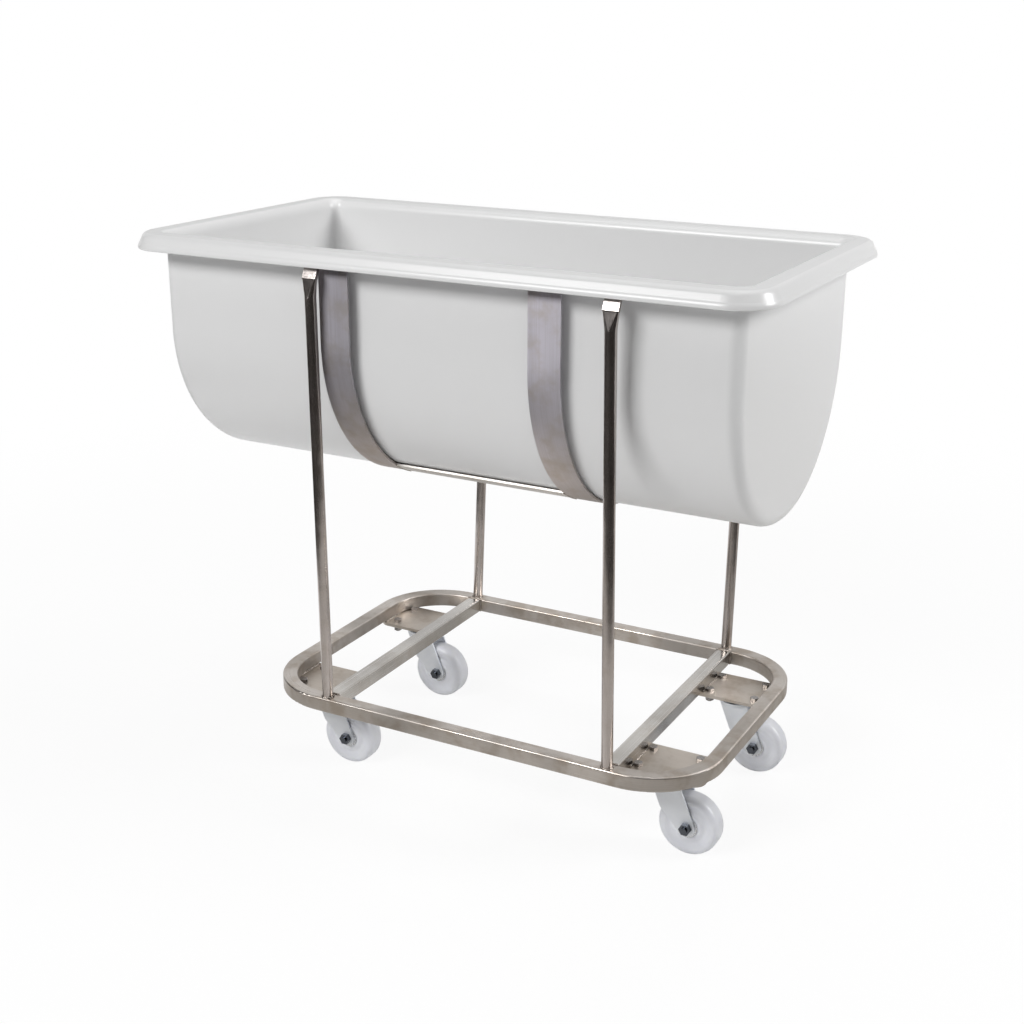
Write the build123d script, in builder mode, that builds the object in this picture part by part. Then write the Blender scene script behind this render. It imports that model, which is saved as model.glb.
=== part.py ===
from build123d import *
from math import cos, degrees, hypot, radians, sin, sqrt, tan
import os

# A plastic trough that lies in a wheeled cradle of stainless steel.
# Millimetres: X along the trough, Y from front to back, Z up.
# The origin is on the floor, under the middle of the tub.

# Tub
tub_length = 1077.0        # over the rim, before its edge is rounded
tub_width = 573.0          # over the rim, before its edge is rounded
tub_depth = 400.0          # from the rim's crest to the underside
tub_wall = 5.0
tub_end_radius = 20.0      # corner between an end wall and the trough
tub_above_ring = 345.0     # underside above the base ring's top
rim_reach = 45.5           # rim edge beyond the body's wall
rim_crest_radius = 18.0    # rounded inner edge of the mouth
rim_slope = 2.0            # degrees that the rim falls towards its edge
rim_shoulder = 12.0        # outer shoulder radius
rim_draft = 26.0           # degrees that the skirt leans outwards
rim_skirt = 26.0           # from the crest to the skirt's lower edge
rim_band = 10.0            # height of the raised band along the skirt's edge
rim_band_draft = 16.0      # degrees that the band leans outwards
rim_band_bulge = 1.0       # roundness of the band
rim_root = 34.0            # from the crest to where the rim joins the body
rim_edge_fillet = 1.5

# Base ring and cross members of square tube
ring_length = 800.0
ring_inset = 21.5          # ring's side from the rim's edge
ring_corner = 125.0        # outer corner radius
ring_tube = 25.0
ring_tube_wall = 2.0
ring_tube_edge = 3.0       # rounded edges of the tube
ring_shift = 62.0          # ring's middle from the tub's middle, along X

# Straps and tie bars of flat bar
strap_width = 52.0
strap_thick = 3.0
strap_spacing = 356.0
strap_shift = 28.0         # straps' middle from the tub's middle, along X
strap_gap = 16.0           # between strap and tub at the sides
strap_seat = 0.3           # the same at the lowest line
strap_drop = 1.0           # strap's end below the rim
tie_width = 50.0
tie_angle = 26.0           # degrees from the lowest line of the belly

# Top rails that carry the rim
rail_height = 22.0
rail_thick = 5.0
rail_drop = 0.3            # rail's inner edge below the rim
rail_end = 8.0             # past the uprights' heads

# Uprights of round tube with flattened heads
upright_diameter = 18.0
upright_wall = 1.5
upright_lean_left = 13.0   # inwards, from foot to head
upright_lean_right = 1.0
head_width = 24.0
head_thick = 6.0
head_below = 17.0          # bend below the skirt's edge
head_flat = 2.0            # flat stretch below the bend
head_taper = 26.0          # from round to flat
head_inset = 6.8           # outer face from the rim's edge
head_lean = 24.0           # degrees from upright, above the bend
neck_flat = 0.1            # half width of the flats where the round tube begins to flatten
tab_rise = 20.0            # from the bend to the top of the level tab

# Mounting plates under the ring
mount_plate_width = 96.0
mount_plate_thick = 5.0
mount_plate_lap = 12.0     # under the ring's end and the cross member
mount_plate_corner = 20.0

# Casters
caster_height = 138.0      # floor to the top of the caster's own plate
caster_inset_y = 113.0     # pivot from the ring's outer side
caster_plate_length = 105.0
caster_plate_width = 85.0
caster_plate_thick = 3.0
caster_plate_corner = 10.0
bolt_spacing_x = 80.0
bolt_spacing_y = 60.0
bolt_to_ring = 11.5        # bolt head to the ring's end tube
bolt_to_cross = 1.0        # bolt head to the cross member
race_height = 8.0          # between plate and fork crown
race_gap = 0.3             # running gap of the swivel
dust_ring_wall = 3.0
dust_ring_inset = 3.0      # inside the crown's edge
ball_count = 12
ball_clear = 0.2
king_pin_diameter = 12.0
king_pin_head = 22.0
king_pin_head_thick = 5.0
fork_trail = 40.0          # axle behind the pivot
fork_leg_thick = 3.0
fork_leg_end = 14.0        # end radius round the axle
fork_shoulder = 46.0       # leg width at the crown
fork_knee = 14.0           # radius of the leg's front bulge
fork_knee_trail = 7.5      # bulge behind the pivot
fork_knee_rise = 34.0      # bulge above the axle
fork_crown_thick = 4.0
fork_bend = 2.0            # inside bend radius
wheel_diameter = 100.0
wheel_width = 34.0
wheel_shoulder = 9.0
wheel_side_clear = 2.0     # wheel to fork leg
wheel_hub = 21.0           # hub radius
wheel_dish_edge = 38.0     # outer radius of the dished side
wheel_dish_depth = 2.5
wheel_dish_slope = 7.0
wheel_dish_fillet = 8.0
bush_diameter = 15.0
bush_flange = 34.0
bush_flange_thick = 1.2
bush_gap = 1.0             # between the two bushes of a wheel
fit = 0.05                 # radial clearance of pins and bores

# Fasteners
bolt_diameter = 8.0
bolt_flats = 13.0
bolt_head = 5.3
bolt_hole = 8.5
bolt_end = 2.0             # past the nut
nut_height = 6.8
washer_diameter = 16.0
washer_thick = 1.6
axle_diameter = 10.0
axle_flats = 17.0
axle_head = 6.4
axle_nut = 8.0
axle_end = 3.0             # past the nut

# Heights
ring_bottom = caster_height + mount_plate_thick
ring_top = ring_bottom + ring_tube
tub_bottom = ring_top + tub_above_ring
crest = tub_bottom + tub_depth
body_length = tub_length - 2 * rim_reach
half_length = body_length / 2
half_width = tub_width / 2 - rim_reach
belly_axis = tub_bottom + half_width

# Rim section, outwards from the body's wall and up from the crest
slope = radians(rim_slope)
draft = radians(rim_draft)
crest_centre = rim_crest_radius - tub_wall
crest_end = (crest_centre + rim_crest_radius * sin(slope), rim_crest_radius * (cos(slope) - 1))

# The flange's line and the skirt's line meet at the fold, which the shoulder rounds off
crease = (rim_reach - rim_band * tan(radians(rim_band_draft)), rim_band - rim_skirt)
crease_drop = crest_end[1] + crest_end[0] * tan(slope) - crease[1]
fold_out = (crease[0] - crease_drop * tan(draft)) / (1 - tan(slope) * tan(draft))
fold_up = crest_end[1] - (fold_out - crest_end[0]) * tan(slope)
fold_back = rim_shoulder * tan((radians(90) - slope - draft) / 2)
shoulder_start = (fold_out - fold_back * cos(slope), fold_up + fold_back * sin(slope))
shoulder_out = shoulder_start[0] - rim_shoulder * sin(slope)
shoulder_up = shoulder_start[1] - rim_shoulder * cos(slope)
shoulder_inner = rim_shoulder - tub_wall
skirt_outside = (shoulder_out + rim_shoulder * cos(draft), shoulder_up + rim_shoulder * sin(draft))
skirt_inside = (shoulder_out + shoulder_inner * cos(draft), shoulder_up + shoulder_inner * sin(draft))
skirt_inner_edge = skirt_inside[0] + (skirt_inside[1] + rim_skirt) * tan(draft)
under_rim = shoulder_up + shoulder_inner
root_radius = rim_crest_radius - tub_wall

# Ring, cross members and caster pivots in plan
ring_width = tub_width - 2 * ring_inset
bolt_corner = bolt_flats / sqrt(3)
bolt_along = ring_length / 2 - ring_tube - bolt_to_ring - bolt_corner
pivot_along = bolt_along - bolt_spacing_x / 2
pivot_across = ring_width / 2 - caster_inset_y
cross_along = pivot_along - bolt_spacing_x / 2 - bolt_corner - bolt_to_cross - ring_tube / 2

# Cradle places across the trough
strap_inside = half_width + strap_gap
strap_outside = strap_inside + strap_thick
strap_axis = tub_bottom - strap_seat + strap_inside
rail_outside = strap_outside + rail_thick
head_across = tub_width / 2 - head_inset - head_thick / 2
bend_height = crest - rim_skirt - head_below
head_height = bend_height - head_flat
lean_turn = radians(head_lean)
tab_top = bend_height + tab_rise
foot_across = ring_width / 2 - ring_tube / 2

# Caster heights and sizes
plate_under = caster_height - caster_plate_thick
crown_top = plate_under - race_height
crown_under = crown_top - fork_crown_thick
axle_height = wheel_diameter / 2
fork_inside = wheel_width / 2 + wheel_side_clear
fork_outside = fork_inside + fork_leg_thick
crown_radius = hypot(fork_shoulder / 2, fork_outside)
dust_ring_outer = crown_radius - dust_ring_inset
ball_diameter = race_height - 2 * ball_clear
ball_circle = dust_ring_outer - dust_ring_wall - ball_diameter / 2 - 2 * ball_clear

corners = {
    "front_left": (-1, -1),
    "front_right": (1, -1),
    "rear_left": (-1, 1),
    "rear_right": (1, 1),
}
sides = {"front": -1, "rear": 1}
ends = {"left": -1, "right": 1}


def save(part, name):
    """Label a finished piece and write it."""
    part.label = name
    export_step(part, f"parts/{name}.step")


def pivot(end, side):
    """Plan position of a caster's swivel axis."""
    return ring_shift + end * pivot_along, side * pivot_across


def under_root(out):
    """Height of the rim's underside, with its rounded root, at this distance out from the body's wall."""
    short = max(root_radius - out, 0)
    return crest + under_rim - root_radius + sqrt(root_radius ** 2 - short ** 2)


def head_along(end):
    """X of an upright's head."""
    lean = upright_lean_left if end < 0 else upright_lean_right
    return ring_shift + end * (cross_along - lean)


def trough_block(long_half, wide_half, top, edge):
    """Solid U-shaped block with rounded ends, open stock for the tub's body and its hollow."""
    with BuildPart() as block:
        with BuildSketch(Plane.YZ.offset(-long_half)):
            with BuildLine():
                Line((-wide_half, top), (-wide_half, belly_axis))
                ThreePointArc((-wide_half, belly_axis), (0, belly_axis - wide_half), (wide_half, belly_axis))
                Line((wide_half, belly_axis), (wide_half, top))
                Line((wide_half, top), (-wide_half, top))
            make_face()
        extrude(amount=2 * long_half)
        end_faces = block.faces().filter_by(Axis.X)
        rims = [rim for face in end_faces for rim in face.edges() if rim.center().Z < top - edge / 2]
        fillet(rims, edge)
    return block.part


def rim_section(plane):
    """Rolled rim in section: crest, sloping flange, shoulder, skirt and a raised band along its edge."""
    with BuildSketch(plane) as section:
        with BuildLine():
            Line((-tub_wall, -rim_root), (-tub_wall, -rim_crest_radius))
            CenterArc((crest_centre, -rim_crest_radius), rim_crest_radius, 180, -90 - rim_slope)
            Line(crest_end, shoulder_start)
            CenterArc((shoulder_out, shoulder_up), rim_shoulder, 90 - rim_slope, rim_slope + rim_draft - 90)
            Line(skirt_outside, crease)
            SagittaArc(crease, (rim_reach, -rim_skirt), rim_band_bulge)
            Line((rim_reach, -rim_skirt), (skirt_inner_edge, -rim_skirt))
            Line((skirt_inner_edge, -rim_skirt), skirt_inside)
            CenterArc((shoulder_out, shoulder_up), shoulder_inner, rim_draft, 90 - rim_draft)
            Line((shoulder_out, under_rim), (root_radius, under_rim))
            CenterArc((root_radius, under_rim - root_radius), root_radius, 90, 90)
            Line((0, under_rim - root_radius), (0, -rim_root))
            Line((0, -rim_root), (-tub_wall, -rim_root))
        make_face()
        edge_corners = section.vertices().group_by(Axis.Y)[0:2]
        skirt_corners = [v for group in edge_corners for v in group if v.X > rim_reach - 1.5 * tub_wall]
        fillet(skirt_corners, min(rim_edge_fillet, 0.4 * tub_wall))
    return section.sketch


# Tub: U-shaped body, hollowed, with its rolled rim
corner_along = half_length - tub_end_radius
corner_across = half_width - tub_end_radius
end_plane = Plane(origin=(half_length, corner_across, crest), x_dir=(1, 0, 0), z_dir=(0, -1, 0))
side_plane = Plane(origin=(corner_along, half_width, crest), x_dir=(0, 1, 0), z_dir=(1, 0, 0))

with BuildPart() as rim:
    extrude(rim_section(end_plane), amount=corner_across)
    extrude(rim_section(side_plane), amount=-corner_along)
    revolve(rim_section(end_plane), axis=Axis((corner_along, corner_across, 0), (0, 0, 1)), revolution_arc=90)
    mirror(about=Plane.XZ)
    mirror(about=Plane.YZ)

with BuildPart() as tub:
    add(trough_block(half_length, half_width, crest - rim_root, tub_end_radius))
    hollow = trough_block(half_length - tub_wall, half_width - tub_wall, crest - rim_root,
                          tub_end_radius - tub_wall)
    add(hollow, mode=Mode.SUBTRACT)
    add(rim.part)

# Base ring: a square tube bent round, hollow all the way
with BuildPart() as base_ring:
    with BuildSketch(Plane((ring_shift, 0, ring_bottom))):
        RectangleRounded(ring_length, ring_width, ring_corner)
        RectangleRounded(ring_length - 2 * ring_tube, ring_width - 2 * ring_tube, ring_corner - ring_tube,
                         mode=Mode.SUBTRACT)
    extrude(amount=ring_tube)
    level_edges = base_ring.edges().group_by(Axis.Z)
    fillet(level_edges[0] + level_edges[-1], ring_tube_edge)
    inset = ring_tube_wall
    outset = ring_tube - ring_tube_wall
    with BuildSketch(Plane((ring_shift, 0, ring_bottom + inset))):
        RectangleRounded(ring_length - 2 * inset, ring_width - 2 * inset, ring_corner - inset)
        RectangleRounded(ring_length - 2 * outset, ring_width - 2 * outset, ring_corner - outset,
                         mode=Mode.SUBTRACT)
    extrude(amount=ring_tube - 2 * ring_tube_wall, mode=Mode.SUBTRACT)


def cross_member(end):
    """Square tube between the ring's long sides."""
    length = ring_width - 2 * ring_tube
    middle = ring_bottom + ring_tube / 2
    start = Plane(origin=(ring_shift + end * cross_along, -length / 2, middle), x_dir=(1, 0, 0),
                  z_dir=(0, 1, 0))
    with BuildPart() as member:
        with BuildSketch(start):
            RectangleRounded(ring_tube, ring_tube, ring_tube_edge)
            bore = ring_tube - 2 * ring_tube_wall
            Rectangle(bore, bore, mode=Mode.SUBTRACT)
        extrude(amount=length)
    return member.part


def strap(end):
    """Flat bar bent to a U under the tub."""
    start = strap_shift + end * strap_spacing / 2 - strap_width / 2
    top = under_root(strap_gap) - strap_drop
    with BuildPart() as bar:
        with BuildSketch(Plane.YZ.offset(start)):
            with BuildLine():
                Line((-strap_outside, top), (-strap_outside, strap_axis))
                ThreePointArc((-strap_outside, strap_axis), (0, strap_axis - strap_outside),
                              (strap_outside, strap_axis))
                Line((strap_outside, strap_axis), (strap_outside, top))
                Line((strap_outside, top), (strap_inside, top))
                Line((strap_inside, top), (strap_inside, strap_axis))
                ThreePointArc((strap_inside, strap_axis), (0, strap_axis - strap_inside),
                              (-strap_inside, strap_axis))
                Line((-strap_inside, strap_axis), (-strap_inside, top))
                Line((-strap_inside, top), (-strap_outside, top))
            make_face()
        extrude(amount=strap_width)
    return bar.part


def tie_bar(side):
    """Flat bar along the belly between the two straps."""
    span = strap_spacing - strap_width
    spread = degrees(tie_width / strap_outside)
    first = 270 + side * tie_angle - spread / 2
    plane = Plane.YZ.offset(strap_shift - span / 2)
    with BuildPart() as bar:
        with BuildSketch(plane):
            with BuildLine():
                outer = CenterArc((0, strap_axis), strap_outside, first, spread)
                inner = CenterArc((0, strap_axis), strap_inside, first, spread)
                Line(outer @ 0, inner @ 0)
                Line(outer @ 1, inner @ 1)
            make_face()
        extrude(amount=span)
    return bar.part


def top_rail(side):
    """Flat bar on edge behind the skirt, under the rim."""
    left = head_along(-1) - head_width / 2 - rail_end
    right = head_along(1) + head_width / 2 + rail_end
    middle = ((left + right) / 2, side * (strap_outside + rail_outside) / 2)
    top = under_root(strap_gap + strap_thick) - rail_drop
    with BuildPart() as bar:
        with BuildSketch(Plane.XY.offset(top - rail_height)):
            with Locations(middle):
                Rectangle(right - left, rail_thick)
        extrude(amount=rail_height)
    return bar.part


def upright(end, side):
    """Round tube, flattened at the head, leaned in and bent level to the top rail."""
    foot = Vector(ring_shift + end * cross_along, side * foot_across, ring_top)
    head = Vector(head_along(end), side * head_across, head_height)
    lean = head - foot
    round_share = (head_height - head_taper - ring_top) / (head_height - ring_top)
    neck = foot + lean * round_share
    outer_face = head_across + head_thick / 2
    inner_face = head_across - head_thick / 2
    lean_end = outer_face - tab_rise * tan(lean_turn)
    section = Plane(origin=(head.X, 0, 0), x_dir=(0, side, 0), z_dir=(side, 0, 0))
    with BuildPart() as tube:
        with BuildSketch(Plane(foot)):
            Circle(upright_diameter / 2)
        extrude(amount=(neck - foot).length, dir=lean)
        with BuildSketch(Plane(foot)):
            Circle(upright_diameter / 2 - upright_wall)
        extrude(amount=(neck - foot).length - upright_wall, dir=lean, mode=Mode.SUBTRACT)
        with BuildSketch(Plane(neck)):
            RectangleRounded(upright_diameter, upright_diameter, upright_diameter / 2 - neck_flat)
        with BuildSketch(Plane(head)):
            RectangleRounded(head_width, head_thick, head_thick / 3)
        loft()
        with BuildSketch(section):
            with BuildLine():
                Polyline(
                    (outer_face, head_height),
                    (outer_face, bend_height),
                    (lean_end, tab_top),
                    (rail_outside, tab_top),
                    (rail_outside, tab_top - head_thick),
                    (lean_end - head_thick * tan((radians(90) - lean_turn) / 2), tab_top - head_thick),
                    (inner_face, bend_height - head_thick * tan(lean_turn / 2)),
                    (inner_face, head_height),
                    close=True,
                )
            make_face()
        extrude(amount=head_width / 2, both=True)
    return tube.part


def bolt_grid():
    """Plan positions of all plate bolts."""
    places = []
    for end, side in corners.values():
        along, across = pivot(end, side)
        for step_x in (-1, 1):
            for step_y in (-1, 1):
                places.append((along + step_x * bolt_spacing_x / 2, across + step_y * bolt_spacing_y / 2))
    return places


def mount_plate(end, side):
    """Plate welded under the ring's end and the cross member."""
    inner = cross_along + ring_tube / 2 - mount_plate_lap
    outer = ring_length / 2 - ring_tube + mount_plate_lap
    across = side * pivot_across
    with BuildPart() as plate:
        with BuildSketch(Plane.XY.offset(caster_height)) as outline:
            with Locations((ring_shift + end * (inner + outer) / 2, across)):
                Rectangle(outer - inner, mount_plate_width)
            outer_corners = outline.vertices().group_by(Axis.X)[-1 if end > 0 else 0]
            fillet(outer_corners, mount_plate_corner)
            with Locations(pivot(end, side)):
                with GridLocations(bolt_spacing_x, bolt_spacing_y, 2, 2):
                    Circle(bolt_hole / 2, mode=Mode.SUBTRACT)
        extrude(amount=mount_plate_thick)
    return plate.part


def caster_plate(end, side):
    """Top plate of a caster with its bolt holes and the king pin's hole."""
    with BuildPart() as plate:
        with BuildSketch(Plane((*pivot(end, side), plate_under))):
            RectangleRounded(caster_plate_length, caster_plate_width, caster_plate_corner)
            Circle(king_pin_diameter / 2 + fit, mode=Mode.SUBTRACT)
            with GridLocations(bolt_spacing_x, bolt_spacing_y, 2, 2):
                Circle(bolt_hole / 2, mode=Mode.SUBTRACT)
        extrude(amount=caster_plate_thick)
    return plate.part


def dust_ring(end, side):
    """Dark ring that closes the swivel's ball track."""
    with BuildPart() as ring:
        with BuildSketch(Plane((*pivot(end, side), crown_top + race_gap))):
            Circle(dust_ring_outer)
            Circle(dust_ring_outer - dust_ring_wall, mode=Mode.SUBTRACT)
        extrude(amount=race_height - race_gap)
    return ring.part


def swivel_balls(end, side):
    """Ring of balls between caster plate and fork crown."""
    with BuildPart(Plane((*pivot(end, side), crown_top + race_height / 2))) as balls:
        with PolarLocations(ball_circle, ball_count):
            Sphere(ball_diameter / 2)
    return balls.part


def king_pin(end, side):
    """Pin through plate and crown, with its head under the crown."""
    head_top = crown_under - race_gap
    with BuildPart() as pin:
        with BuildSketch(Plane((*pivot(end, side), head_top))):
            Circle(king_pin_diameter / 2)
        extrude(amount=caster_height - head_top)
        with BuildSketch(Plane((*pivot(end, side), head_top - king_pin_head_thick))):
            Circle(king_pin_head / 2)
        extrude(amount=king_pin_head_thick)
        fillet(pin.edges().group_by(Axis.Z)[0], king_pin_head_thick / 2)
    return pin.part


def fork(end, side):
    """Pressed fork: round crown and two legs that taper to the axle."""
    along, across = pivot(end, side)
    profile = Plane(origin=(along, across, 0), x_dir=(1, 0, 0), z_dir=(0, -1, 0))
    section = Plane(origin=(along, across, 0), x_dir=(0, 1, 0), z_dir=(1, 0, 0))
    with BuildPart() as body:
        with BuildSketch(profile) as legs:
            with Locations((fork_trail, axle_height)):
                Circle(fork_leg_end)
            with Locations((fork_knee_trail, axle_height + fork_knee_rise)):
                Circle(fork_knee)
            with Locations((0, crown_top - fork_crown_thick / 2)):
                Rectangle(fork_shoulder, fork_crown_thick)
            make_hull(legs.edges())
        extrude(amount=fork_outside, both=True)
        fillet(body.edges().filter_by(Axis.X).group_by(Axis.Z)[-1], fork_bend + fork_leg_thick)
        with BuildSketch(section) as channel:
            with Locations((0, crown_under / 2)):
                Rectangle(2 * fork_inside, crown_under)
            fillet(channel.vertices().group_by(Axis.Y)[-1], fork_bend)
        extrude(amount=fork_trail + fork_shoulder, both=True, mode=Mode.SUBTRACT)
        with BuildSketch(Plane((along, across, crown_under))):
            Circle(crown_radius)
        extrude(amount=fork_crown_thick)
        with BuildSketch(Plane((along, across, crown_under))):
            Circle(king_pin_diameter / 2 + fit)
        extrude(amount=fork_crown_thick, mode=Mode.SUBTRACT)
        with BuildSketch(profile):
            with Locations((fork_trail, axle_height)):
                Circle(axle_diameter / 2 + fit)
        extrude(amount=fork_outside, both=True, mode=Mode.SUBTRACT)
    return body.part


def axle_plane(end, side, offset):
    """Plane across the axle, offset from the wheel's middle towards the back."""
    along, across = pivot(end, side)
    return Plane(origin=(along + fork_trail, across + offset, axle_height), x_dir=(1, 0, 0), z_dir=(0, 1, 0))


def wheel(end, side):
    """Solid wheel with rounded shoulders, dished sides and a bore for its bush."""
    along, across = pivot(end, side)
    centre = (along + fork_trail, across, axle_height)
    half = wheel_width / 2
    bore = bush_diameter / 2 + fit
    dish = half - wheel_dish_depth
    rear = [
        (bore, half),
        (wheel_hub, half),
        (wheel_hub + wheel_dish_slope, dish),
        (wheel_dish_edge - wheel_dish_slope, dish),
        (wheel_dish_edge, half),
        (wheel_diameter / 2, half),
    ]
    front = [(radius, -height) for radius, height in reversed(rear)]
    with BuildPart() as body:
        with BuildSketch(Plane(centre)) as section:
            with BuildLine():
                Polyline(*rear, *front, close=True)
            make_face()
            fillet(section.vertices().group_by(Axis.X)[-1], wheel_shoulder)
            dish_corners = [v for v in section.vertices() if wheel_hub - 1 < v.X < wheel_dish_edge + 1]
            fillet(dish_corners, wheel_dish_fillet)
        revolve(axis=Axis(centre, (0, 1, 0)))
    return body.part


def wheel_bush(end, side):
    """Two flanged bushes that the wheel turns on, one from each leg of the fork."""
    bore = axle_diameter / 2 + fit
    with BuildPart() as bushes:
        with BuildSketch(axle_plane(end, side, -fork_inside)):
            Circle(bush_flange / 2)
            Circle(bore, mode=Mode.SUBTRACT)
        extrude(amount=bush_flange_thick)
        with BuildSketch(axle_plane(end, side, -fork_inside)):
            Circle(bush_diameter / 2)
            Circle(bore, mode=Mode.SUBTRACT)
        extrude(amount=fork_inside - bush_gap / 2)
        mirror(about=axle_plane(end, side, 0))
    return bushes.part


def axle_bolt(end, side):
    """Bolt through the fork, with its head at the back."""
    start = -fork_outside - axle_nut - axle_end
    with BuildPart() as bolt:
        with BuildSketch(axle_plane(end, side, start)):
            Circle(axle_diameter / 2)
        extrude(amount=fork_outside - start)
        with BuildSketch(axle_plane(end, side, fork_outside)):
            RegularPolygon(axle_flats / 2, 6, major_radius=False)
        extrude(amount=axle_head)
    return bolt.part


def axle_nut_body(end, side):
    """Nut on the axle bolt, at the front."""
    with BuildPart() as nut:
        with BuildSketch(axle_plane(end, side, -fork_outside - axle_nut)):
            RegularPolygon(axle_flats / 2, 6, major_radius=False)
            Circle(axle_diameter / 2 + fit, mode=Mode.SUBTRACT)
        extrude(amount=axle_nut)
    return nut.part


# Plate bolts, washers and nuts: one group each for all casters
washer_under = plate_under - washer_thick
nut_under = washer_under - nut_height

with BuildPart() as plate_bolts:
    with BuildSketch(Plane.XY.offset(ring_bottom)):
        with Locations(*bolt_grid()):
            RegularPolygon(bolt_flats / 2, 6, major_radius=False)
    extrude(amount=bolt_head)
    with BuildSketch(Plane.XY.offset(nut_under - bolt_end)):
        with Locations(*bolt_grid()):
            Circle(bolt_diameter / 2)
    extrude(amount=ring_bottom - nut_under + bolt_end)

with BuildPart() as plate_washers:
    with BuildSketch(Plane.XY.offset(washer_under)):
        with Locations(*bolt_grid()):
            Circle(washer_diameter / 2)
            Circle(bolt_diameter / 2 + fit, mode=Mode.SUBTRACT)
    extrude(amount=washer_thick)

with BuildPart() as plate_nuts:
    with BuildSketch(Plane.XY.offset(nut_under)):
        with Locations(*bolt_grid()):
            RegularPolygon(bolt_flats / 2, 6, major_radius=False)
            Circle(bolt_diameter / 2 + fit, mode=Mode.SUBTRACT)
    extrude(amount=nut_height)

# Write every piece
os.makedirs("parts", exist_ok=True)
save(tub.part, "tub")
save(base_ring.part, "base_ring")
save(plate_bolts.part, "plate_bolts")
save(plate_washers.part, "plate_washers")
save(plate_nuts.part, "plate_nuts")

for name, end in ends.items():
    save(cross_member(end), f"cross_member_{name}")
    save(strap(end), f"strap_{name}")

for name, side in sides.items():
    save(tie_bar(side), f"tie_bar_{name}")
    save(top_rail(side), f"top_rail_{name}")

for name, (end, side) in corners.items():
    save(upright(end, side), f"upright_{name}")
    save(mount_plate(end, side), f"mount_plate_{name}")
    save(caster_plate(end, side), f"caster_plate_{name}")
    save(dust_ring(end, side), f"dust_ring_{name}")
    save(swivel_balls(end, side), f"swivel_balls_{name}")
    save(king_pin(end, side), f"king_pin_{name}")
    save(fork(end, side), f"fork_{name}")
    save(wheel(end, side), f"wheel_{name}")
    save(wheel_bush(end, side), f"wheel_bush_{name}")
    save(axle_bolt(end, side), f"axle_bolt_{name}")
    save(axle_nut_body(end, side), f"axle_nut_{name}")
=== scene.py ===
import bpy
import math
from mathutils import Matrix, Vector, noise

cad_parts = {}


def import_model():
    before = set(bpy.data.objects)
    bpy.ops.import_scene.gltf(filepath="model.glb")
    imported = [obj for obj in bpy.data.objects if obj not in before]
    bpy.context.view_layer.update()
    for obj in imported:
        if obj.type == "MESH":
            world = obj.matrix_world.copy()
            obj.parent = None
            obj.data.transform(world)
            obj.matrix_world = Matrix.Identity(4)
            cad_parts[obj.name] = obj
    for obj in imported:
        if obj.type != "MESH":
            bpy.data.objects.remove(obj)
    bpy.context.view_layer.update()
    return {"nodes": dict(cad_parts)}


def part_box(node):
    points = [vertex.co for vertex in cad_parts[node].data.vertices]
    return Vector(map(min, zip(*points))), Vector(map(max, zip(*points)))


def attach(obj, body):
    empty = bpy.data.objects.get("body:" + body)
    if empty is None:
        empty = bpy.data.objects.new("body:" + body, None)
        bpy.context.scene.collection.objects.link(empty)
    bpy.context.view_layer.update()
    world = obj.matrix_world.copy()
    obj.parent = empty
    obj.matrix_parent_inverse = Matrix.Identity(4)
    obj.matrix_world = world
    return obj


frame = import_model()
nodes = frame["nodes"]

# Places read from the frame, in metres
ring_low, ring_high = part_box("base_ring")
ring_middle = (ring_low + ring_high) / 2
ring_half = (ring_high - ring_low) / 2
tube_side = ring_high.z - ring_low.z
cross_places = {end: (sum(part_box(f"cross_member_{end}"), Vector()) / 2).x for end in ("left", "right")}
strap_low, strap_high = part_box("strap_left")
tie_places = {side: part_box(f"tie_bar_{side}") for side in ("front", "rear")}
tub_middle = sum(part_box("tub"), Vector()) / 2
corners = [f"{side}_{end}" for side in ("front", "rear") for end in ("left", "right")]

# Sizes of details, in metres
ring_corner = 0.125           # outer corner radius of the base ring
upright_radius = 0.009
foot_bead = 0.0022            # radius of the weld bead round an upright's foot
cross_bead = 0.0020           # along a cross member's end
plate_bead = 0.0020           # along a mounting plate
plate_bead_inset = 0.006      # from the plate's edge to the bead's end
tie_bead = 0.0012             # along a tie bar's end
bead_pitch = 0.0026           # from ripple to ripple
bead_steps = 5                # rings of points for each ripple
bead_sides = 10               # points in each ring
bead_least = 0.88             # share of the radius between two ripples
bead_ripple = 0.16            # share added by a ripple
bead_uneven = 0.10            # share added or taken at random
bead_cells = 260.0            # uneven spots for each metre
bead_end = 0.35               # share of the radius at the very end of a bead
bead_end_step = 0.25          # share that each ring adds from there
edge_round = 0.0006           # worn edges of plates and bolts
strap_edge_round = 0.0012     # ground edges of the straps
sharp_edge = 50.0             # degrees from which an edge is softened
painted_reflection_full_below = 0.56           # height up to which a steel's painted floor reflection tint is full
painted_reflection_gone_above = 0.74         # height at which it has gone

# Studio, in metres and degrees; azimuth 0 is in front of the trough and grows to the right
floor_reach = 12.0
floor_tone = (0.92, 0.92, 0.92)
floor_near = 0.90             # share of plain white that the camera sees on the floor by the trough
floor_near_end = 0.6          # distance from which it grows
floor_far = 2.6               # distance at which the floor has become all white
mirror_floor = (0.47, 0.45, 0.42)   # floor's colour in reflections
mirror_near = 0.15            # share of plain white that reflections see on the floor by the trough
mirror_painted_light_beneath = 0.45           # the same beneath its front half, a painted pool of light seen in reflections
under_place = (0.1, -0.2, 0.0)
under_inner = 0.25            # distance from that place up to which the share is full
under_outer = 0.55
mirror_painted_light_left = 1.0             # the same on the left, a painted patch of light seen in reflections
left_way = (-0.85, 0.5, 0.0)  # weights of a measure that grows to the left
left_start = 0.3              # measure from which that share grows
left_full = 0.7
mirror_room = 0.80            # the same all round above the floor
room_light = 0.03             # even light all round
cloth_tone = (0.022, 0.018, 0.016, 1.0)
cloth_lift = 0.004
cloth_start = 1.2             # near edge of the dark floor cloth
cloth_reach = 5.6
cloth_first = -105.0          # azimuths of its two ends
cloth_last = 112.0
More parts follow.
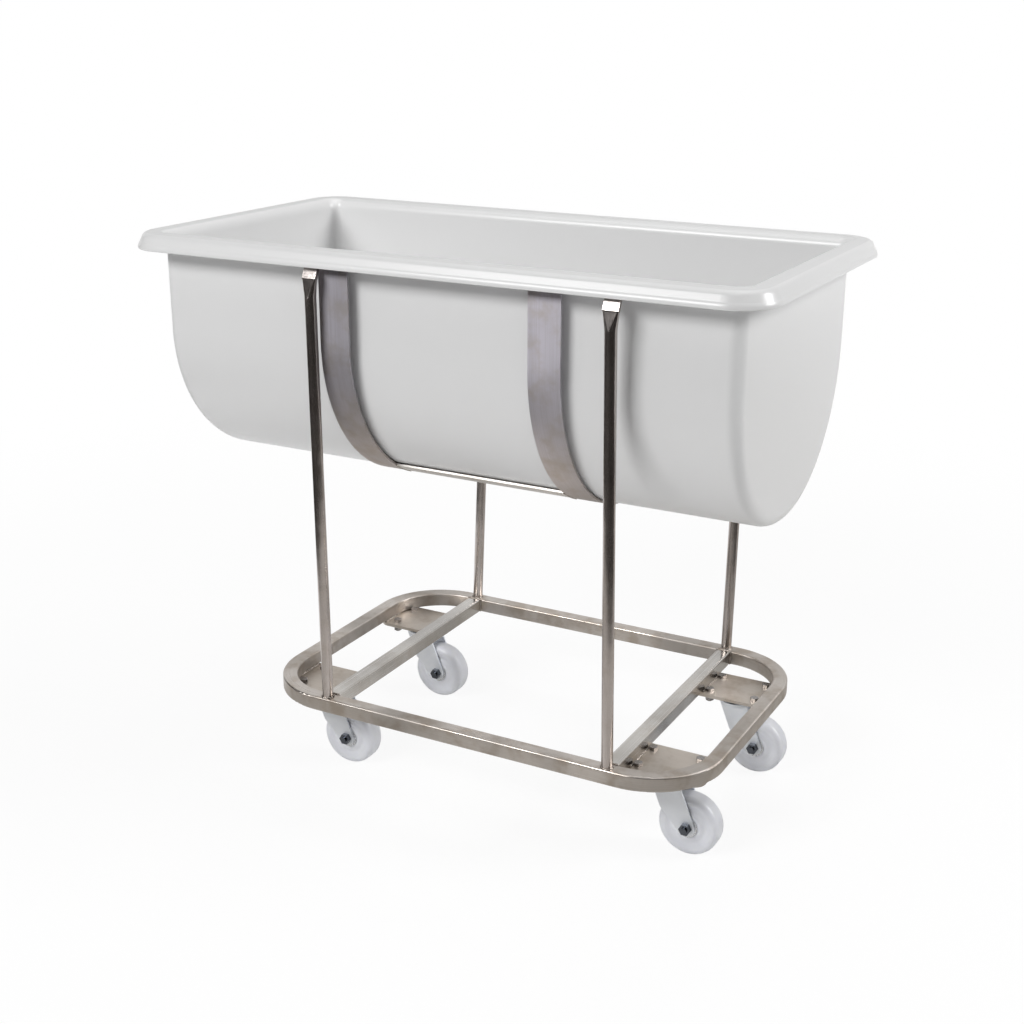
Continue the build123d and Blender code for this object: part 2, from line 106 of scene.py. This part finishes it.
cloth_turns = 20              # faces along the cloth
drape_low = 2.0               # dark drape beyond it, from this elevation
drape_high = 58.0
drape_rises = 8               # faces up the drape
light_target = (0.0, 0.0, 0.65)

# Camera at the photograph's place, in metres, degrees and millimetres
camera_place = (1.1617, -2.1332, 1.2759)
camera_yaw = 28.223
camera_pitch = 18.834         # downwards
camera_roll = 0.21
camera_lens = 53.58
camera_sensor = 36.0


class Graph:
    """Short way to add and link the shader nodes of one material."""

    def __init__(self, name):
        self.material = bpy.data.materials.new(name)
        self.material.use_nodes = True
        self.tree = self.material.node_tree
        self.tree.nodes.clear()
        self.output = self.add("ShaderNodeOutputMaterial")
        self.shader = self.add("ShaderNodeBsdfPrincipled")
        self.tree.links.new(self.shader.outputs["BSDF"], self.output.inputs["Surface"])
        coordinates = self.add("ShaderNodeTexCoord").outputs
        self.place = coordinates["Object"]
        self.facing = coordinates["Normal"]

    def add(self, kind, **settings):
        node = self.tree.nodes.new(kind)
        for key, value in settings.items():
            setattr(node, key, value)
        return node

    def feed(self, socket, value):
        """Link an output to a socket, or set the socket's own value."""
        if isinstance(value, bpy.types.NodeSocket):
            self.tree.links.new(value, socket)
        else:
            socket.default_value = value

    def set(self, **values):
        """Set inputs of the surface shader by name, with spaces as underscores."""
        for key, value in values.items():
            self.feed(self.shader.inputs[key.replace("_", " ")], value)

    def maths(self, operation, first, second=0.0, clamp=False):
        node = self.add("ShaderNodeMath", operation=operation, use_clamp=clamp)
        self.feed(node.inputs[0], first)
        self.feed(node.inputs[1], second)
        return node.outputs[0]

    def vector(self, operation, first, second=(0.0, 0.0, 0.0)):
        node = self.add("ShaderNodeVectorMath", operation=operation)
        self.feed(node.inputs[0], first)
        self.feed(node.inputs[1], second)
        return node.outputs["Value" if operation in ("LENGTH", "DISTANCE", "DOT_PRODUCT") else "Vector"]

    def split(self, vector):
        node = self.add("ShaderNodeSeparateXYZ")
        self.feed(node.inputs[0], vector)
        return node.outputs

    def join(self, x=0.0, y=0.0, z=0.0):
        node = self.add("ShaderNodeCombineXYZ")
        for socket, value in zip(node.inputs, (x, y, z)):
            self.feed(socket, value)
        return node.outputs[0]

    def noise(self, cells, detail=2.0, rough=0.5, place=None):
        """Noise with so many cells for each metre; cells may differ along X, Y and Z."""
        place = self.place if place is None else place
        if isinstance(cells, tuple):
            place = self.vector("MULTIPLY", place, cells)
            cells = 1.0
        node = self.add("ShaderNodeTexNoise")
        self.feed(node.inputs["Vector"], place)
        node.inputs["Scale"].default_value = cells
        node.inputs["Detail"].default_value = detail
        node.inputs["Roughness"].default_value = rough
        return node.outputs["Fac"]

    def span(self, value, low, high, start=0.0, end=1.0):
        """Map low..high smoothly to start..end."""
        node = self.add("ShaderNodeMapRange", interpolation_type="SMOOTHSTEP")
        for socket, number in zip(node.inputs, (value, low, high, start, end)):
            self.feed(socket, number)
        return node.outputs[0]

    def blend(self, share, first, second):
        """Colour between first and second."""
        node = self.add("ShaderNodeMix", data_type="RGBA")
        self.feed(node.inputs[0], share)
        self.feed(node.inputs[6], (*first, 1.0) if isinstance(first, tuple) else first)
        self.feed(node.inputs[7], (*second, 1.0) if isinstance(second, tuple) else second)
        return node.outputs[2]

    def bump(self, height, depth, normal=None):
        """Normal of a height field whose full range is depth metres."""
        node = self.add("ShaderNodeBump")
        node.inputs["Strength"].default_value = 1.0
        node.inputs["Distance"].default_value = depth
        self.feed(node.inputs["Height"], height)
        if normal is not None:
            self.feed(node.inputs["Normal"], normal)
        return node.outputs[0]


def tinted(tone, *factors):
    """A colour times one factor, or one for each channel."""
    return tuple(c * f for c, f in zip(tone, factors * 3 if len(factors) == 1 else factors))


def tub_plastic():
    """Satin moulded polyethylene: a fine grain, a very slow waviness and faint scuffs.

    The interior is painted lighter than the outer walls as painted fill light, and the flat top of the rim
    is painted a little darker as painted shade.
    """
    outside = (0.682, 0.682, 0.682)
    # painted fill light for the interior walls, and painted shade for the flat top of the rim
    interior_painted_light = (0.755, 0.755, 0.755)
    rim_top_painted_shade = (0.605, 0.605, 0.605)
    scuff_mark = (0.62, 0.62, 0.615)
    g = Graph("tub_plastic")
    # Painted light and shade: the interior is painted lighter and the rim's flat top darker, chosen by
    # which way the surface faces
    outward = g.vector("DOT_PRODUCT", g.facing, g.vector("SUBTRACT", g.place, tuple(tub_middle)))
    interior_painted_light_share = g.span(outward, -0.06, 0.02, 1.0, 0.0)
    upward = g.span(g.split(g.facing)[2], 0.94, 0.99)
    rim_top_shade_share = g.maths("MULTIPLY", upward, g.span(outward, 0.02, 0.06))
    wave = g.noise(5.0, 2.0, 0.5)
    grain = g.noise(1400.0, 2.0, 0.6)
    scuffed = g.span(g.noise((40.0, 40.0, 260.0), 4.0, 0.7), 0.66, 0.82)
    colour = g.blend(interior_painted_light_share, outside, interior_painted_light)
    colour = g.blend(rim_top_shade_share, colour, rim_top_painted_shade)
    colour = g.blend(g.maths("MULTIPLY", scuffed, 0.10), colour, scuff_mark)
    rough = g.span(scuffed, 0.0, 1.0, 0.285, 0.36)
    normal = g.bump(wave, 0.0002)
    normal = g.bump(grain, 0.00003, normal)
    g.set(Base_Color=colour, Roughness=rough, Normal=normal, IOR=1.5)
    return g.material


def steel(name, cells, place=None, tone=(0.56, 0.52, 0.485), rough=(0.18, 0.28), wave=0.0010, stained=0.35,
          stain_tint=(0.74, 0.69, 0.63), low_painted_reflection=(1.0, 1.0, 1.0), dull=0.0):
    """Brushed stainless steel; cells for each metre are many across the grain and few along it.

    It is stained in small clouds, drifts slowly in tone, may carry a warm tint low down as a painted
    reflection of the floor, and is rougher by up to dull where it is dark.
    """
    g = Graph(name)
    where = place(g) if place else g.place
    streak = g.noise(cells, 3.0, 0.65, where)
    cloud = g.noise(17.0, 1.6, 0.5)
    colour = g.blend(g.span(streak, 0.3, 0.7), tinted(tone, 0.92, 0.915, 0.905), tinted(tone, 1.05))
    stain = g.span(g.noise(26.0, 3.0, 0.6), 0.42, 0.72)
    colour = g.blend(g.maths("MULTIPLY", stain, stained), colour, tinted(tone, *stain_tint))
    drift = g.noise(6.0, 1.0, 0.5)
    colour = g.vector("MULTIPLY", colour, g.span(drift, 0.3, 0.7, 0.80, 1.12))
    # Painted reflection of the floor: the colour is tinted low down
    upper = g.span(g.split(g.place)[2], painted_reflection_full_below, painted_reflection_gone_above)
    colour = g.vector("MULTIPLY", colour, g.blend(upper, low_painted_reflection, (1.0, 1.0, 1.0)))
    low, high = rough
    normal = g.bump(cloud, wave)
    normal = g.bump(streak, 0.000012, normal)
    gloss = g.maths("ADD", g.span(streak, 0.25, 0.75, low, high), g.span(drift, 0.45, 0.60, dull, 0.0))
    g.set(Base_Color=colour, Metallic=1.0, Roughness=gloss, Normal=normal)
    return g.material


def weld_steel():
    """Weld metal with straw and brown heat tint, its dark tones also painted shade along the welds."""
    g = Graph("weld_steel")
    heat = g.noise(160.0, 3.0, 0.6)
    fine = g.noise(900.0, 2.0, 0.6)
    # Dark colours: partly heat tint, partly painted shade along the welds
    colour = g.blend(g.span(heat, 0.3, 0.7), (0.24, 0.20, 0.17), (0.52, 0.48, 0.44))
    rough = g.span(fine, 0.3, 0.7, 0.26, 0.42)
    g.set(Base_Color=colour, Metallic=1.0, Roughness=rough, Normal=g.bump(fine, 0.00005))
    return g.material


def along_ring(g):
    """Coordinates that follow the ring: distance from its core, a slow run along it, and height."""
    offset = g.vector("SUBTRACT", g.place, tuple(ring_middle))
    endless = 10.0
    core = (ring_half.x - ring_corner, ring_half.y - ring_corner, endless)
    past = g.vector("MAXIMUM", g.vector("SUBTRACT", g.vector("ABSOLUTE", offset), core))
    x, y, z = g.split(offset)
    return g.join(g.vector("LENGTH", past), g.maths("ADD", x, y), z)


def zinc():
    """Bright zinc plate on pressed steel: cool, softly clouded."""
    g = Graph("caster_zinc")
    cloud = g.noise(45.0, 4.0, 0.6)
    fine = g.noise(700.0, 2.0, 0.5)
    colour = g.blend(g.span(cloud, 0.3, 0.7), (0.84, 0.865, 0.91), (0.89, 0.91, 0.94))
    g.set(Base_Color=colour, Metallic=1.0, Roughness=g.span(cloud, 0.3, 0.7, 0.52, 0.66),
          Normal=g.bump(fine, 0.00003))
    return g.material


def nylon():
    """White nylon with a slight cool tint and a fine moulded grain."""
    g = Graph("wheel_nylon")
    cloud = g.noise(30.0, 3.0, 0.5)
    grain = g.noise(900.0, 2.0, 0.6)
    colour = g.blend(g.span(cloud, 0.3, 0.7), (0.68, 0.69, 0.73), (0.73, 0.74, 0.775))
    g.set(Base_Color=colour, Roughness=g.span(grain, 0.3, 0.7, 0.28, 0.38), Normal=g.bump(grain, 0.00003),
          Subsurface_Weight=0.15, Subsurface_Radius=(0.004, 0.004, 0.005), IOR=1.53)
    return g.material


def rubber():
    """Matt black seal."""
    g = Graph("dust_seal")
    speck = g.noise(600.0, 3.0, 0.6)
    colour = g.blend(speck, (0.018, 0.018, 0.020), (0.045, 0.045, 0.048))
    g.set(Base_Color=colour, Roughness=g.span(speck, 0.3, 0.7, 0.55, 0.75), Normal=g.bump(speck, 0.00006))
    return g.material


def bright_steel(name, tone, rough):
    """Plated fastener steel with faint turning marks."""
    g = Graph(name)
    mark = g.noise(500.0, 3.0, 0.6)
    low, high = rough
    g.set(Base_Color=g.blend(g.span(mark, 0.3, 0.7), tinted(tone, 0.72), tone), Metallic=1.0,
          Roughness=g.span(mark, 0.3, 0.7, low, high), Normal=g.bump(mark, 0.00002))
    return g.material


def named(*starts):
    """CAD nodes whose names begin with one of these."""
    return [piece for name, piece in nodes.items() if name.startswith(starts)]


def dress(material, *starts):
    """Give a material to CAD nodes."""
    for piece in named(*starts):
        piece.data.materials.clear()
        piece.data.materials.append(material)


def soften(width, *starts):
    """Round the sharp edges of CAD nodes a little, so that they catch the light."""
    for piece in named(*starts):
        bevel = piece.modifiers.new("worn_edges", "BEVEL")
        bevel.width = width
        bevel.segments = 2
        bevel.limit_method = "ANGLE"
        bevel.angle_limit = math.radians(sharp_edge)
        bevel.harden_normals = False


# Finishes of the pieces
# The straps are tinted warm low down as a painted reflection of the floor
strap_finish = {"tone": (0.68, 0.66, 0.715), "rough": (0.60, 0.72), "stained": 0.8,
                "stain_tint": (0.86, 0.82, 0.74), "low_painted_reflection": (1.03, 0.98, 0.88)}
ring_finish = {"rough": (0.26, 0.36), "stained": 0.9, "dull": 0.24}
cross_finish = {"tone": (0.60, 0.58, 0.555)}
tie_finish = {"tone": (0.86, 0.83, 0.80), "rough": (0.50, 0.62)}
upright_finish = {"tone": (0.57, 0.525, 0.505), "rough": (0.18, 0.26)}
plate_finish = {"tone": (0.57, 0.52, 0.47), "rough": (0.36, 0.50), "stained": 0.8}
dress(tub_plastic(), "tub")
dress(steel("steel_ring", (900.0, 2.5, 900.0), along_ring, **ring_finish), "base_ring")
dress(steel("steel_cross", (900.0, 3.0, 900.0), **cross_finish), "cross_member")
dress(steel("steel_strap", (1100.0, 6.0, 6.0), **strap_finish), "strap")
dress(steel("steel_rail", (4.0, 900.0, 900.0), **strap_finish), "top_rail")
dress(steel("steel_tie", (4.0, 900.0, 900.0), **tie_finish), "tie_bar")
dress(steel("steel_upright", (900.0, 900.0, 3.0), **upright_finish), "upright")
dress(steel("steel_plate", (8.0, 700.0, 700.0), **plate_finish), "mount_plate")
dress(zinc(), "caster_plate", "fork")
dress(nylon(), "wheel_front", "wheel_rear")
dress(rubber(), "dust_ring")
dress(bright_steel("bolt_steel", (0.36, 0.34, 0.33), (0.16, 0.28)), "plate_", "king_pin")
# Axle bolts and nuts are coloured near black as a painted dark reflection
dress(bright_steel("axle_steel_painted_dark_reflection", (0.13, 0.14, 0.16), (0.10, 0.20)), "axle_")
dress(bright_steel("bush_steel", (0.80, 0.81, 0.83), (0.20, 0.32)), "wheel_bush")
dress(bright_steel("ball_steel", (0.72, 0.72, 0.73), (0.05, 0.10)), "swivel_balls")


def add_mesh(name, points, faces):
    mesh = bpy.data.meshes.new(name)
    mesh.from_pydata(points, [], faces)
    piece = bpy.data.objects.new(name, mesh)
    bpy.context.scene.collection.objects.link(piece)
    return piece


def resample(path, step):
    """Points at even steps along a polyline."""
    lengths = [0.0]
    for first, second in zip(path[:-1], path[1:]):
        lengths.append(lengths[-1] + (second - first).length)
    count = max(2, round(lengths[-1] / step))
    points = []
    at = 0
    for k in range(count + 1):
        goal = lengths[-1] * k / count
        while at < len(path) - 2 and lengths[at + 1] < goal:
            at += 1
        share = (goal - lengths[at]) / max(lengths[at + 1] - lengths[at], 1e-9)
        points.append(path[at].lerp(path[at + 1], share))
    return points


def bead_mesh(path, radius):
    """Points and faces of one weld bead: a round run with ripples, uneven and closed at both ends."""
    off_axis = Vector((0.31, 0.47, 0.83))
    run = resample(path, bead_pitch / bead_steps)
    points, faces = [], []
    for k, centre in enumerate(run):
        ahead = run[min(k + 1, len(run) - 1)] - run[max(k - 1, 0)]
        across = ahead.cross(off_axis).normalized()
        over = across.cross(ahead).normalized()
        ripple = abs(math.sin(math.pi * k / bead_steps))
        uneven = noise.noise(centre * bead_cells)
        size = radius * (bead_least + bead_ripple * ripple + bead_uneven * uneven)
        from_end = min(k, len(run) - 1 - k)
        size *= min(1.0, bead_end + bead_end_step * from_end)
        for s in range(bead_sides):
            angle = 2 * math.pi * s / bead_sides
            points.append(centre + across * (size * math.cos(angle)) + over * (size * math.sin(angle)))
    for k in range(len(run) - 1):
        for s in range(bead_sides):
            a = k * bead_sides + s
            b = k * bead_sides + (s + 1) % bead_sides
            faces.append((a, b, b + bead_sides, a + bead_sides))
    faces.append(tuple(reversed(range(bead_sides))))
    faces.append(tuple(range((len(run) - 1) * bead_sides, len(run) * bead_sides)))
    return points, faces


def welds(name, paths, radius):
    """One piece with a bead along each path, fixed to the frame."""
    points, faces = [], []
    for path in paths:
        more_points, more_faces = bead_mesh(path, radius)
        start = len(points)
        points += more_points
        faces += [tuple(start + index for index in face) for face in more_faces]
    piece = add_mesh(name, points, faces)
    for polygon in piece.data.polygons:
        polygon.use_smooth = True
    piece.data.materials.append(weld)
    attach(piece, "frame")


def arc(centre, radius, first, last, plane, count=48):
    """Points of an arc in degrees; plane is "XY" or "YZ"."""
    points = []
    for k in range(count + 1):
        angle = math.radians(first + (last - first) * k / count)
        along, up = radius * math.cos(angle), radius * math.sin(angle)
        points.append(centre + (Vector((along, up, 0.0)) if plane == "XY" else Vector((0.0, along, up))))
    return points


# Weld beads
weld = weld_steel()
foot_y = ring_half.y - tube_side / 2
inner_y = ring_half.y - tube_side
half_tube = tube_side / 2
ring_inner_x = ring_half.x - tube_side

feet = []
cross_ends = []
plate_lines = []
for corner in corners:
    side_sign = -1 if corner.startswith("front") else 1
    end = corner.split("_")[1]
    end_sign = -1 if end == "left" else 1
    cross_x = cross_places[end]
    feet.append(arc(Vector((cross_x, side_sign * foot_y, ring_high.z)), upright_radius, 0, 360, "XY"))
    face_y = side_sign * inner_y
    cross_ends.append([
        Vector((cross_x - half_tube, face_y, ring_low.z)),
        Vector((cross_x - half_tube, face_y, ring_high.z)),
        Vector((cross_x + half_tube, face_y, ring_high.z)),
        Vector((cross_x + half_tube, face_y, ring_low.z)),
    ])
    plate_low, plate_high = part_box(f"mount_plate_{corner}")
    for line_x in (cross_x + end_sign * half_tube, ring_middle.x + end_sign * ring_inner_x):
        line_ends = (plate_low.y + plate_bead_inset, plate_high.y - plate_bead_inset)
        plate_lines.append([Vector((line_x, line_y, ring_low.z)) for line_y in line_ends])

belly_radius = (strap_high.y - strap_low.y) / 2
belly_axis = strap_low.z + belly_radius
tie_ends = []
for low, high in tie_places.values():
    heights = (low.z, high.z) if low.y > 0 else (high.z, low.z)
    angles = [math.degrees(math.atan2(z - belly_axis, y)) for y, z in zip((low.y, high.y), heights)]
    for x in (low.x, high.x):
        tie_ends.append(arc(Vector((x, 0.0, belly_axis)), belly_radius, *angles, "YZ", count=12))

welds("weld_feet", feet, foot_bead)
welds("weld_cross_members", cross_ends, cross_bead)
welds("weld_plates", plate_lines, plate_bead)
welds("weld_tie_bars", tie_ends, tie_bead)
soften(edge_round, "tie_bar", "mount_plate", "caster_plate", "plate_", "axle_")
soften(strap_edge_round, "strap")


def ray_white(g, camera_share, mirror_share):
    """Share of plain white seen by the camera, and by glossy and transmitted rays."""
    rays = g.add("ShaderNodeLightPath").outputs
    bounced = g.maths("MAXIMUM", rays["Is Glossy Ray"], rays["Is Transmission Ray"])
    return g.maths("MAXIMUM", g.maths("MULTIPLY", rays["Is Camera Ray"], camera_share),
                   g.maths("MULTIPLY", bounced, mirror_share))


def floor():
    """Pale floor that keeps a soft shadow and runs to white."""
    r = floor_reach
    piece = add_mesh("floor", [(-r, -r, 0), (r, -r, 0), (r, r, 0), (-r, r, 0)], [(0, 1, 2, 3)])
    g = Graph("floor_paper")
    away = g.vector("LENGTH", g.place)
    seen = g.span(away, floor_near_end, floor_far, floor_near, 1.0)
    # Painted light seen in reflections: a brighter patch beneath the trough's front half and white to the
    # left
    from_under = g.vector("DISTANCE", g.place, under_place)
    under = g.span(from_under, under_inner, under_outer, mirror_painted_light_beneath, mirror_near)
    leftward = g.vector("DOT_PRODUCT", g.place, left_way)
    left = g.span(leftward, left_start, left_full, mirror_near, mirror_painted_light_left)
    white = ray_white(g, seen, g.maths("MAXIMUM", under, left))
    glow = g.add("ShaderNodeEmission")
    mix = g.add("ShaderNodeMixShader")
    mirrored = g.add("ShaderNodeLightPath").outputs["Is Glossy Ray"]
    tone = g.blend(mirrored, floor_tone, mirror_floor)
    g.set(Base_Color=tone, Roughness=0.9, Specular_IOR_Level=0.0)
    g.feed(mix.inputs[0], white)
    g.feed(mix.inputs[1], g.shader.outputs[0])
    g.feed(mix.inputs[2], glow.outputs[0])
    g.feed(g.output.inputs["Surface"], mix.outputs[0])
    piece.data.materials.append(g.material)


def towards(azimuth, elevation=0.0):
    """Unit vector from the trough to a place round it."""
    turn, rise = math.radians(azimuth), math.radians(elevation)
    return Vector((math.sin(turn) * math.cos(rise), -math.cos(turn) * math.cos(rise), math.sin(rise)))


def cloths():
    """Dark cloth on the camera's side, seen only in reflections: on the floor and hung beyond it."""
    material = bpy.data.materials.new("dark_cloth")
    material.use_nodes = True
    shader = material.node_tree.nodes["Principled BSDF"]
    shader.inputs["Base Color"].default_value = cloth_tone
    shader.inputs["Roughness"].default_value = 0.9
    lift = Vector((0, 0, cloth_lift))
    turn_step = (cloth_last - cloth_first) / cloth_turns
    rise_step = (drape_high - drape_low) / drape_rises
    turns = [cloth_first + turn_step * k for k in range(cloth_turns + 1)]
    rises = [drape_low + rise_step * k for k in range(drape_rises + 1)]
    reaches = (cloth_start, cloth_reach)
    grids = {
        "floor_cloth": [[towards(turn) * reach + lift for reach in reaches] for turn in turns],
        "drape": [[towards(turn, rise) * cloth_reach for rise in rises] for turn in turns],
    }
    for name, grid in grids.items():
        wide = len(grid[0])
        points = [point for row in grid for point in row]
        cells = [row * wide + column for row in range(len(grid) - 1) for column in range(wide - 1)]
        piece = add_mesh(name, points, [(k, k + 1, k + wide + 1, k + wide) for k in cells])
        piece.data.materials.append(material)
        piece.visible_camera = False
        piece.visible_diffuse = False
        piece.visible_shadow = False


def lamp(name, azimuth, elevation, distance, size, power, mirrored=True):
    """Soft box of a width and height that looks at the trough; a fill is not mirrored by surfaces."""
    data = bpy.data.lights.new(name, "AREA")
    data.shape = "RECTANGLE"
    data.size, data.size_y = size
    data.energy = power
    piece = bpy.data.objects.new(name, data)
    bpy.context.scene.collection.objects.link(piece)
    way = towards(azimuth, elevation)
    piece.location = Vector(light_target) + way * distance
    piece.rotation_euler = (-way).to_track_quat("-Z", "Y").to_euler()
    piece.visible_glossy = mirrored


class WorldGraph(Graph):
    """The same for the world."""

    def __init__(self, name):
        self.world = bpy.data.worlds.new(name)
        self.world.use_nodes = True
        self.tree = self.world.node_tree
        self.tree.nodes.clear()
        self.output = self.add("ShaderNodeOutputWorld")


def world(strength):
    """Even light all round, with a white background."""
    g = WorldGraph("studio")
    strong = g.maths("MAXIMUM", ray_white(g, 1.0, mirror_room), strength)
    light = g.add("ShaderNodeBackground")
    g.feed(light.inputs["Color"], (1.0, 1.0, 1.0, 1.0))
    g.feed(light.inputs["Strength"], strong)
    g.feed(g.output.inputs["Surface"], light.outputs[0])
    bpy.context.scene.world = g.world


# Camera
camera_data = bpy.data.cameras.new("camera")
camera_data.lens = camera_lens
camera_data.sensor_width = camera_sensor
camera = bpy.data.objects.new("camera", camera_data)
bpy.context.scene.collection.objects.link(camera)
turn = Matrix.Rotation(math.radians(camera_yaw), 4, "Z")
tilt = Matrix.Rotation(math.radians(90 - camera_pitch), 4, "X")
roll = Matrix.Rotation(math.radians(camera_roll), 4, "Z")
camera.matrix_world = Matrix.Translation(camera_place) @ turn @ tilt @ roll
bpy.context.scene.camera = camera

# Stage and lamps: degrees, metres and watts
floor()
cloths()
world(room_light)
lamp("key_light", -19.0, 31.0, 5.0, (2.3, 1.3), 170.0)
lamp("right_light", 108.0, 27.0, 4.0, (1.4, 1.4), 99.0)
lamp("top_light", 0.0, 88.0, 2.9, (2.6, 2.6), 28.0)
lamp("back_fill", 195.0, 15.0, 5.0, (2.5, 2.5), 75.0, mirrored=False)

bpy.context.scene.view_settings.view_transform = "Standard"
